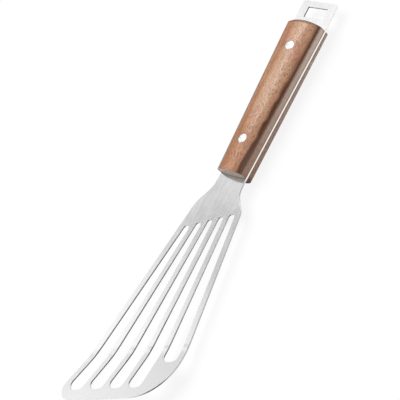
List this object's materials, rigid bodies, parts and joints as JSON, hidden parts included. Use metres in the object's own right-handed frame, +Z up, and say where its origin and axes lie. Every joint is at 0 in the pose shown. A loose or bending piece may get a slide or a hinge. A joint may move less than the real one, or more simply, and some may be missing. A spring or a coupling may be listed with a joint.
{
  "type": "fish spatula",
  "caption": "Flexible slotted turner: a fanned, upturned steel blade with full tang between riveted wooden handle scales and a hanging eye.",
  "frame": {"origin": "middle of the turner's bounding box, on its lowest plane", "axes": "+X along the handle from the blade's tip to the hanging eye, +Y across the handle towards the blade's long, pointed corner, +Z up from the sheet on the side that the tip curls to"},
  "size_m": [0.3428, 0.087, 0.0196],
  "materials": {
    "sheet_steel": "satin",
    "handle_wood": "satin",
    "rivet_steel": "polished"
  },
  "bodies": {
    "root": {"steel_plate": "sheet_steel", "upper_scale": "handle_wood", "lower_scale": "handle_wood", "front_rivet_sleeve": "rivet_steel", "front_rivet_pin": "rivet_steel", "rear_rivet_sleeve": "rivet_steel", "rear_rivet_pin": "rivet_steel"}
  },
  "joints": []
}
